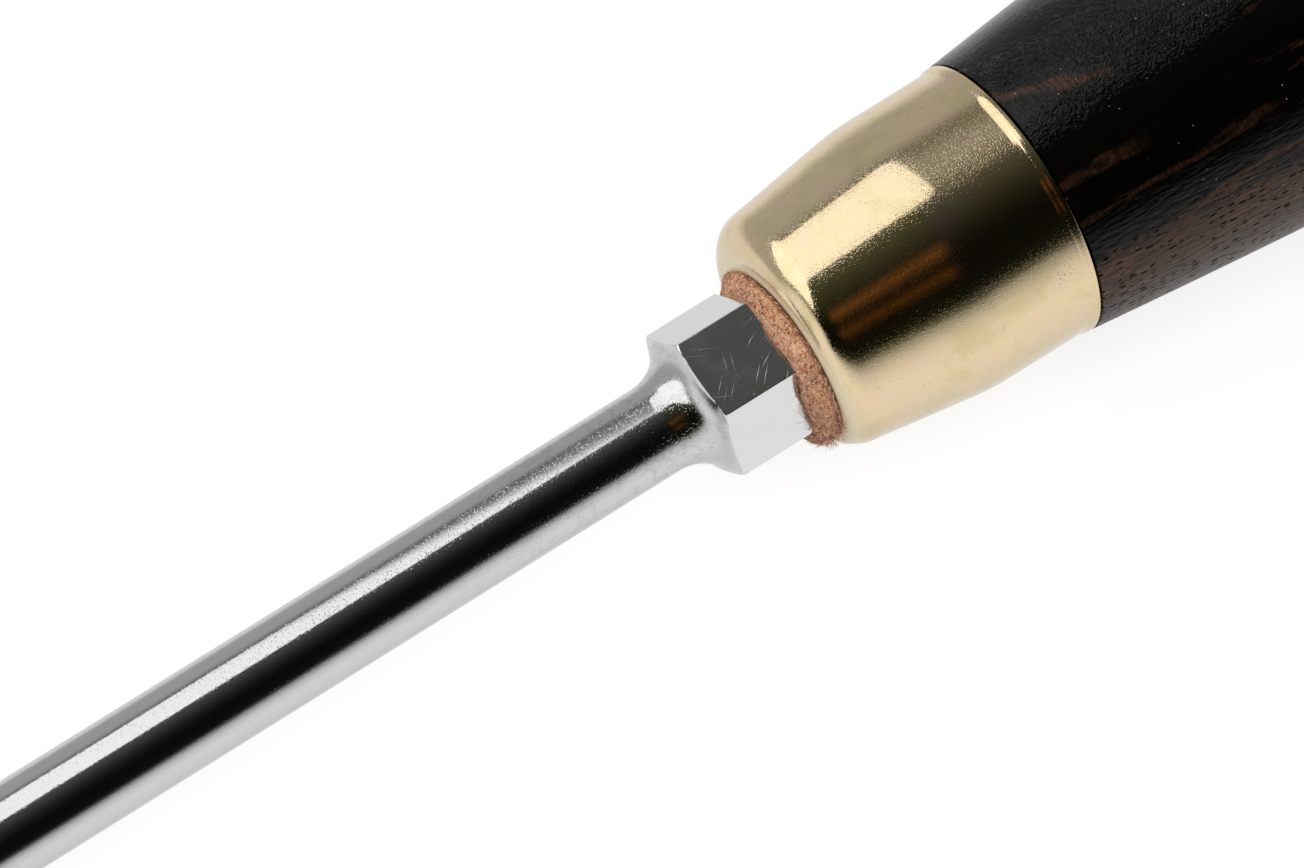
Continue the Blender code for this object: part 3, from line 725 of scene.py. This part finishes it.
swell = (COLLAR_X + FLARE_LENGTH, SWELL_RADIUS)
heel = (swell[0] + TAPER_LENGTH, HEEL_RADIUS)
end_x = heel[0] + DOME_LENGTH
collar = [(COLLAR_X + back, COLLAR_RADIUS - drop) for back, drop in COLLAR_EDGE]
handle_outline = [(SPIGOT_X, 0), (SPIGOT_X, SPIGOT_RADIUS), (COLLAR_X, SPIGOT_RADIUS)]
handle_outline += collar[:2]
handle_outline += eased_run(collar[2], FLARE_SLOPE, swell, 0, FLARE_STEPS)
handle_outline += eased_run(swell, 0, heel, HEEL_SLOPE, TAPER_STEPS)[1:]
bends = [Vector(heel), Vector((heel[0] + DOME_LENGTH / 2, heel[1] + HEEL_SLOPE * DOME_LENGTH / 2)),
         Vector((end_x, heel[1] * DOME_FULLNESS)), Vector((end_x, 0))]
for i in range(1, DOME_STEPS + 1):
    t = i / DOME_STEPS
    handle_outline.append(tuple(bends[0] * (1 - t)**3 + bends[1] * 3 * t * (1 - t)**2
                                + bends[2] * 3 * t**2 * (1 - t) + bends[3] * t**3))
handle = turn_piece("turned_wooden_handle", handle_outline, HANDLE_STEPS, HANDLE_AXIS_Y)
bpy.ops.object.mode_set(mode="OBJECT")
for vertex in handle.data.vertices:
    height = abs(vertex.co.z)
    overlap = max(HANDLE_FLAT_EASE - abs(height - HANDLE_FLAT_HEIGHT), 0.0)
    eased = min(height, HANDLE_FLAT_HEIGHT) - overlap**2 / (4 * HANDLE_FLAT_EASE)
    vertex.co.z = math.copysign(eased, vertex.co.z)
bpy.ops.object.shade_smooth_by_angle(angle=HANDLE_SMOOTHING)

# Hornbeam stained black and oiled. Round towards the front below it turns lighter brown, where the grain
# shows between small dark pores. Red-brown streaks lie along the grain, with fine turning lines across
# them.
# The dried oil is glossy and wrinkled on the top, where its glints stand against black.
# Streaks: angle from straight up in degrees, drift in degrees per mm, half width, end and strength.
WOOD_STREAKS = [(-22, 2.4, 3.4, 132.5, 0.50), (20, 0.1, 2.0, 132.0, 0.24), (36, -0.2, 1.8, 141, 0.22),
                (54, -0.3, 2.4, 150, 0.44)]
STREAK_FADE = 3
FAR_STREAK_ZONE = (136 * MM, 146 * MM)
TURNING_FADE = (126 * MM, 134 * MM)
# Patterns: length along the grain and width across it, or one size where they are as long as wide.
TURNING_LINES = (0.17 * MM, 3 * MM)
STREAK_WANDER = (5 * MM, 1.0 * MM)
STREAK_WANDER_TURN = math.radians(7)
WOOD_VEINS = (1.8 * MM, 0.22 * MM)
FAR_STREAKS = (10 * MM, 1.2 * MM)
WOOD_PORES = (0.75 * MM, 0.22 * MM)
WOOD_FIBRES = (1.3 * MM, 0.28 * MM)
WOOD_RELIEF = 0.07 * MM
PORE_DEPTH = 0.04 * MM
DUST_SPACING = 1.1 * MM
FILM_WRINKLES = 0.40 * MM
FILM_PATCHES = 5 * MM
# Angles from straight up towards the front at which each change begins and ends.
BROWN_SIDE_ANGLES = (math.radians(51), math.radians(59))
OPEN_GRAIN = (math.radians(36), math.radians(54))
FILM_TOP = (math.radians(6), math.radians(-6))
FILM_BACK = (math.radians(-52), math.radians(-30))
wood, tree = new_material("stained_oiled_hornbeam")
place = add_node(tree, "TexCoord", {}, gives="Object")
sides = add_node(tree, "SeparateXYZ", {"Vector": place}).node.outputs
frontwards = add_node(tree, "Math", {0: HANDLE_AXIS_Y, 1: sides["Y"]}, operation="SUBTRACT")
angle = add_node(tree, "Math", {0: frontwards, 1: sides["Z"]}, operation="ARCTAN2")
turning_place = add_node(tree, "Mapping", {"Vector": place, "Scale": pattern_scale(*TURNING_LINES)})
turning = add_node(tree, "TexNoise", {"Vector": turning_place, "Scale": 1.0, "Detail": 1.0})
turning_shade = add_node(tree, "MapRange", {
    "Value": turning, "From Min": 0.35, "From Max": 0.65, "To Min": 0.35, "To Max": 1.0})
wander_place = add_node(tree, "Mapping", {"Vector": place, "Scale": pattern_scale(*STREAK_WANDER)})
wander = add_node(tree, "TexNoise", {
    "Vector": wander_place, "Scale": 1.0, "Detail": 4.0, "Roughness": 0.65})
wander_turn = add_node(tree, "MapRange", {
    "Value": wander, "To Min": -STREAK_WANDER_TURN, "To Max": STREAK_WANDER_TURN})
wandered = add_node(tree, "Math", {0: angle, 1: wander_turn}, operation="ADD")
vein_place = add_node(tree, "Mapping", {"Vector": place, "Scale": pattern_scale(*WOOD_VEINS)})
veins = add_node(tree, "TexNoise", {"Vector": vein_place, "Scale": 1.0, "Detail": 3.0, "Roughness": 0.65})
vein_shade = add_node(tree, "MapRange", {
    "Value": veins, "From Min": 0.34, "From Max": 0.64, "To Min": 0.2, "To Max": 1.15})
streak_place = add_node(tree, "Mapping", {"Vector": place, "Scale": pattern_scale(*FAR_STREAKS)})
far_streaks = add_node(tree, "TexNoise", {
    "Vector": streak_place, "Scale": 1.0, "Detail": 4.0, "Roughness": 0.6})
far_mask = add_node(tree, "MapRange", {
    "Value": far_streaks, "From Min": 0.60, "From Max": 0.70, "To Max": 0.4})
far_zone = add_node(tree, "MapRange", {
    "Value": sides["X"], "From Min": FAR_STREAK_ZONE[0], "From Max": FAR_STREAK_ZONE[1]})
streaks = add_node(tree, "Math", {0: far_mask, 1: far_zone}, operation="MULTIPLY")
for start, drift, width, end, strength in WOOD_STREAKS:
    drift_turn = math.radians(drift) / MM
    middle = add_node(tree, "Math", {
        0: sides["X"], 1: drift_turn, 2: math.radians(start) - drift_turn * COLLAR_X},
        operation="MULTIPLY_ADD")
    aside = add_node(tree, "Math", {0: wandered, 1: middle}, operation="SUBTRACT")
    off_middle = add_node(tree, "Math", {0: aside}, operation="ABSOLUTE")
    band = add_node(tree, "MapRange", {
        "Value": off_middle, "From Max": math.radians(width), "To Min": strength, "To Max": 0.0})
    fade = add_node(tree, "MapRange", {
        "Value": sides["X"], "From Min": (end - STREAK_FADE) * MM, "From Max": end * MM,
        "To Min": 1.0, "To Max": 0.0})
    streak = add_node(tree, "Math", {0: band, 1: fade}, operation="MULTIPLY")
    streaks = add_node(tree, "Math", {0: streaks, 1: streak}, operation="MAXIMUM")
streak_level = add_node(tree, "Math", {0: streaks, 1: turning_shade}, operation="MULTIPLY")
# Lighter brown towards the front below, from about 51° to 59° round from the top, with a ragged edge,
# shaded by the veins.
brown_side = add_node(tree, "MapRange", {
    "Value": wandered, "From Min": BROWN_SIDE_ANGLES[0], "From Max": BROWN_SIDE_ANGLES[1], "To Max": 0.54},
    interpolation_type="SMOOTHSTEP")
brown_side_level = add_node(tree, "Math", {0: brown_side, 1: vein_shade}, operation="MULTIPLY")
browned = add_node(tree, "Math", {0: streak_level, 1: brown_side_level}, operation="MAXIMUM")
tone = add_node(tree, "ValToRGB", {"Fac": browned}, stops=[
    (0.0, srgb("#030302")), (0.45, srgb("#432b1c")), (1.0, srgb("#6e5646"))])
pore_place = add_node(tree, "Mapping", {"Vector": place, "Scale": pattern_scale(*WOOD_PORES)})
pore_cells = add_node(tree, "TexVoronoi", {"Vector": pore_place, "Scale": 1.0})
pore_chance = add_node(tree, "SeparateColor", {"Color": pore_cells.node.outputs["Color"]})
pore_size = add_node(tree, "MapRange", {
    "Value": pore_chance, "From Min": 0.45, "From Max": 1.0, "To Max": 0.44})
open_grain = add_node(tree, "MapRange", {
    "Value": angle, "From Min": OPEN_GRAIN[0], "From Max": OPEN_GRAIN[1]})
pore_reach = add_node(tree, "Math", {0: pore_size, 1: open_grain}, operation="MULTIPLY")
in_pore = add_node(tree, "Math", {0: pore_cells, 1: pore_reach}, operation="SUBTRACT")
pores = add_node(tree, "MapRange", {"Value": in_pore, "From Min": -0.06, "From Max": 0.06})
pore_shade = add_node(tree, "MapRange", {"Value": pores, "To Min": 0.05, "To Max": 1.0})
grained = add_node(tree, "Mix", {
    "Factor": 1.0, "A": tone, "B": pore_shade}, data_type="RGBA", blend_type="MULTIPLY")
dust_cells = add_node(tree, "TexVoronoi", {"Vector": place, "Scale": 1 / DUST_SPACING})
dust = add_node(tree, "MapRange", {
    "Value": dust_cells, "From Min": 0.03, "From Max": 0.06, "To Min": 0.5, "To Max": 0.0})
colour = add_node(tree, "Mix", {"Factor": dust, "A": grained, "B": srgb("#a8a8a4")}, data_type="RGBA")
fibre_place = add_node(tree, "Mapping", {"Vector": place, "Scale": pattern_scale(*WOOD_FIBRES)})
raised = add_node(tree, "TexNoise", {"Vector": fibre_place, "Scale": 1.0, "Detail": 1.0})
raised_depth = add_node(tree, "MapRange", {"Value": open_grain, "To Min": 0.3, "To Max": 1.2})
raised_height = add_node(tree, "Math", {0: raised, 1: raised_depth}, operation="MULTIPLY")
turning_fade = add_node(tree, "MapRange", {
    "Value": sides["X"], "From Min": TURNING_FADE[0], "From Max": TURNING_FADE[1], "To Min": 0.25,
    "To Max": 0.0})
turned_height = add_node(tree, "Math", {
    0: turning, 1: turning_fade, 2: raised_height}, operation="MULTIPLY_ADD")
film = add_node(tree, "TexNoise", {
    "Vector": place, "Scale": 1 / FILM_WRINKLES, "Detail": 1.0, "Roughness": 0.6, "Distortion": 1.2})
film_side = add_node(tree, "Math", {0: film, 1: 0.5}, operation="SUBTRACT")
wrinkles = add_node(tree, "Math", {0: film_side}, operation="ABSOLUTE")
film_patches = add_node(tree, "TexNoise", {"Vector": place, "Scale": 1 / FILM_PATCHES, "Detail": 3.0})
film_depth = add_node(tree, "MapRange", {
    "Value": film_patches, "From Min": 0.36, "From Max": 0.60, "To Min": 0.8, "To Max": 3.6})
film_top = add_node(tree, "MapRange", {
    "Value": angle, "From Min": FILM_TOP[0], "From Max": FILM_TOP[1], "To Min": 0.12, "To Max": 1.0})
film_back = add_node(tree, "MapRange", {
    "Value": angle, "From Min": FILM_BACK[0], "From Max": FILM_BACK[1], "To Min": 0.3, "To Max": 1.0})
film_zone = add_node(tree, "Math", {0: film_top, 1: film_back}, operation="MULTIPLY")
film_level = add_node(tree, "Math", {0: film_depth, 1: film_zone}, operation="MULTIPLY")
relief = add_node(tree, "Math", {0: wrinkles, 1: film_level, 2: turned_height}, operation="MULTIPLY_ADD")
relief_bump = add_node(tree, "Bump", {"Height": relief, "Strength": 1.0, "Distance": WOOD_RELIEF})
pore_bump = add_node(tree, "Bump", {
    "Height": pores, "Strength": 1.0, "Distance": PORE_DEPTH, "Normal": relief_bump})
dry = add_node(tree, "MapRange", {"Value": open_grain, "To Min": 0.72, "To Max": 0.96})
rough = add_node(tree, "Math", {0: pores, 1: -0.6, 2: dry}, operation="MULTIPLY_ADD")
shader = add_node(tree, "BsdfPrincipled", {
    "Base Color": colour, "Roughness": rough, "Specular IOR Level": 0.25, "Normal": pore_bump})
add_node(tree, "OutputMaterial", {"Surface": shader})
handle.data.materials.clear()
handle.data.materials.append(wood)
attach(handle, "root")
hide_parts("wooden_handle")


# Studio: the tool lies on a white table, on its shank near the point and on the handle's lower flat.
# A large soft box stands behind it, with a white card in front and another to the left. The room above
# is dark, apart from two warm beams.
# The two contacts are given by their place along the tool and their depth under its axis, in mm.
SHANK_CONTACT = (3.7, 3.0)
HANDLE_CONTACT = (149.9, 12.4)
FLOOR_SLOPE = math.atan((HANDLE_CONTACT[1] - SHANK_CONTACT[1]) / (HANDLE_CONTACT[0] - SHANK_CONTACT[0]))
FLOOR_SIZE = 6
FLOOR_GLOW = 0.80
bpy.ops.object.select_all(action="DESELECT")
bpy.ops.mesh.primitive_plane_add(size=FLOOR_SIZE)
floor = bpy.context.object
floor.name = "white_table"
floor.rotation_euler = (0, FLOOR_SLOPE, 0)
floor.location = (SHANK_CONTACT[0] * MM, 0, -SHANK_CONTACT[1] * MM)
floor.visible_glossy = False
table, tree = new_material("white_table_top")
camera_ray = add_node(tree, "LightPath", {}, gives="Is Camera Ray")
glow_level = add_node(tree, "Math", {0: camera_ray, 1: FLOOR_GLOW}, operation="MULTIPLY")
matt_tone = add_node(tree, "Mix", {
    "Factor": camera_ray, "A": srgb("#bcbcbc"), "B": srgb("#909090")}, data_type="RGBA")
matt = add_node(tree, "BsdfDiffuse", {"Color": matt_tone})
glow = add_node(tree, "Emission", {"Color": srgb("#ffffff"), "Strength": glow_level})
both = add_node(tree, "AddShader", {0: matt, 1: glow})
add_node(tree, "OutputMaterial", {"Surface": both})
floor.data.materials.append(table)

bpy.ops.object.light_add(type="AREA")
fill = bpy.context.object
fill.name = "overhead_fill"
fill.data.shape = "SQUARE"
fill.data.size = 1.0
fill.data.energy = 3.2 * math.pi
fill.location = (-0.1, -0.35, 1.0)
fill.rotation_euler = (math.radians(-19), math.radians(-6), 0)
fill.visible_camera = False
fill.visible_glossy = False

# Light from the room by the angle round the tool's axis, in degrees from straight up towards the
# front: table, grey wall, rim of the soft box, its spill, dark room, white card and table again.
ROOM_LEVELS = [(-180, 0.80), (-127, 0.86), (-119, 0.70), (-111, 0.48), (-76, 0.46), (-70, 0.36),
               (-66, 0.24), (-61, 0.19), (-55, 0.25), (-49, 0.30), (-37, 0.33), (-25, 0.19), (-13, 0.080),
               (-1, 0.045), (10, 0.020), (22, 0.008), (34, 0.0045), (50, 0.006), (60, 0.010), (66, 0.10),
               (71, 0.38), (82, 0.78), (94, 0.94), (106, 1.0), (130, 0.95), (152, 0.82), (180, 0.80)]
BEAM_LEVELS = [(-180, 0.0), (11, 0.0), (15, 0.07), (19, 0.16), (23, 0.07), (27, 0.012), (31, 0.012),
               (34, 0.05), (37, 0.09), (40, 0.04), (45, 0.0), (180, 0.0)]
# Where the room is dimmer than this it takes a warm tint to the left and right, the more the darker it is.
DIM_LEVEL = 0.3
WARM_TINT = (1.0, 1.06, 0.55, 1)
BEAM_COLOUR = (0.9, 0.34, 0.07)
# Edges of the soft box: its top and foot as angles, and how far they flare to the left.
BOX_TOP = (math.radians(-23), math.radians(-15))
BOX_TOP_FLARE = math.radians(24)
BOX_FOOT = (math.radians(-67.5), math.radians(-59.5))
BOX_FOOT_FLARE = math.radians(8)
BOX_SLANT = -0.094
# Soft edges of the beams, the warm tint, the left card and the box, each with the axis of the view that
# it runs along, where it is nothing and where it is full.
ROOM_EDGES = {
    "beam_start": ("X", -0.60, -0.25), "beam_end": ("X", 0.12, 0.02), "warm_left": ("X", 0.07, 0.04),
    "warm_right": ("X", 0.275, 0.295), "card_side": ("X", -0.90, -0.97), "card_top": ("Z", 0.50, 0.40),
    "card_foot": ("Z", -0.55, -0.35), "box_left": ("X", -0.985, -0.765)}
world = bpy.data.worlds.new("studio")
bpy.context.scene.world = world
world.use_nodes = True
tree = world.node_tree
tree.nodes.clear()
heading = add_node(tree, "TexCoord", {})
parts = add_node(tree, "SeparateXYZ", {"Vector": heading}).node.outputs
frontwards = add_node(tree, "Math", {0: parts["Y"], 1: -1.0}, operation="MULTIPLY")
angle = add_node(tree, "Math", {0: frontwards, 1: parts["Z"]}, operation="ARCTAN2")
turn = add_node(tree, "MapRange", {"Value": angle, "From Min": -math.pi, "From Max": math.pi})
room = add_node(tree, "ValToRGB", {"Fac": turn}, stops=[
    (degrees / 360 + 0.5, (level, level, level, 1 - min(level / DIM_LEVEL, 1)))
    for degrees, level in ROOM_LEVELS])
beams = add_node(tree, "ValToRGB", {"Fac": turn}, stops=[
    (degrees / 360 + 0.5, (*(level * share for share in BEAM_COLOUR), 1))
    for degrees, level in BEAM_LEVELS])
edge = {name: add_node(tree, "MapRange", {"Value": parts[axis], "From Min": nothing, "From Max": full})
        for name, (axis, nothing, full) in ROOM_EDGES.items()}
beam_level = add_node(tree, "Math", {0: edge["beam_start"], 1: edge["beam_end"]}, operation="MULTIPLY")
warm_side = add_node(tree, "Math", {0: edge["warm_left"], 1: edge["warm_right"]}, operation="ADD")
warm_level = add_node(tree, "Math", {0: warm_side, 1: room.node.outputs["Alpha"]}, operation="MULTIPLY")
warm_room = add_node(tree, "Mix", {
    "Factor": warm_level, "A": room, "B": WARM_TINT}, data_type="RGBA", blend_type="MULTIPLY")
beamed_room = add_node(tree, "Mix", {
    "Factor": beam_level, "A": warm_room, "B": beams}, data_type="RGBA", blend_type="ADD")
left_card = add_node(tree, "Math", {0: edge["card_top"], 1: edge["card_side"]}, operation="MULTIPLY")
card_level = add_node(tree, "Math", {0: left_card, 1: edge["card_foot"]}, operation="MULTIPLY")
carded_room = add_node(tree, "Mix", {
    "Factor": card_level, "A": beamed_room, "B": srgb("#ffffff")}, data_type="RGBA")
rising = add_node(tree, "MapRange", {
    "Value": parts["X"], "From Min": -0.42, "From Max": -0.90, "To Max": BOX_TOP_FLARE})
flared_top = add_node(tree, "Math", {0: angle, 1: rising}, operation="SUBTRACT")
box_top = add_node(tree, "MapRange", {
    "Value": flared_top, "From Min": BOX_TOP[0], "From Max": BOX_TOP[1], "To Min": 1.0, "To Max": 0.0})
falling = add_node(tree, "MapRange", {
    "Value": parts["X"], "From Min": 0.0, "From Max": -0.27, "To Max": BOX_FOOT_FLARE})
flared_foot = add_node(tree, "Math", {0: angle, 1: falling}, operation="ADD")
box_foot = add_node(tree, "MapRange", {
    "Value": flared_foot, "From Min": BOX_FOOT[0], "From Max": BOX_FOOT[1]})
slanted = add_node(tree, "Math", {0: angle, 1: BOX_SLANT, 2: parts["X"]}, operation="MULTIPLY_ADD")
box_right = add_node(tree, "MapRange", {
    "Value": slanted, "From Min": 0.215, "From Max": 0.355, "To Min": 1.0, "To Max": 0.0})
box_tall = add_node(tree, "Math", {0: box_top, 1: box_foot}, operation="MULTIPLY")
box_wide = add_node(tree, "Math", {0: edge["box_left"], 1: box_right}, operation="MULTIPLY")
box_round = add_node(tree, "Math", {0: box_tall, 1: box_wide}, operation="MULTIPLY")
soft_box = add_node(tree, "MapRange", {
    "Value": box_round, "From Min": 0.35, "From Max": 0.65}, interpolation_type="SMOOTHSTEP")
box_level = add_node(tree, "MapRange", {
    "Value": parts["X"], "From Min": -0.4, "From Max": -0.1, "To Min": 1.5, "To Max": 1.35})
lit_room = add_node(tree, "Mix", {"Factor": soft_box, "A": carded_room, "B": box_level}, data_type="RGBA")
camera_ray = add_node(tree, "LightPath", {}, gives="Is Camera Ray")
seen = add_node(tree, "Mix", {
    "Factor": camera_ray, "A": lit_room, "B": srgb("#ffffff")}, data_type="RGBA")
background = add_node(tree, "Background", {"Color": seen})
add_node(tree, "OutputWorld", {"Surface": background})

bpy.ops.object.camera_add()
camera = bpy.context.object
camera.location = (-15.3 * MM, -103.0 * MM, 429.0 * MM)
camera.rotation_euler = (math.radians(18.987), math.radians(-4.572), math.radians(-34.346))
camera.data.lens = 198.1
camera.data.sensor_width = 36
camera.data.clip_start = 0.01
camera.data.clip_end = 20
bpy.context.scene.camera = camera
bpy.context.scene.view_settings.view_transform = "Standard"
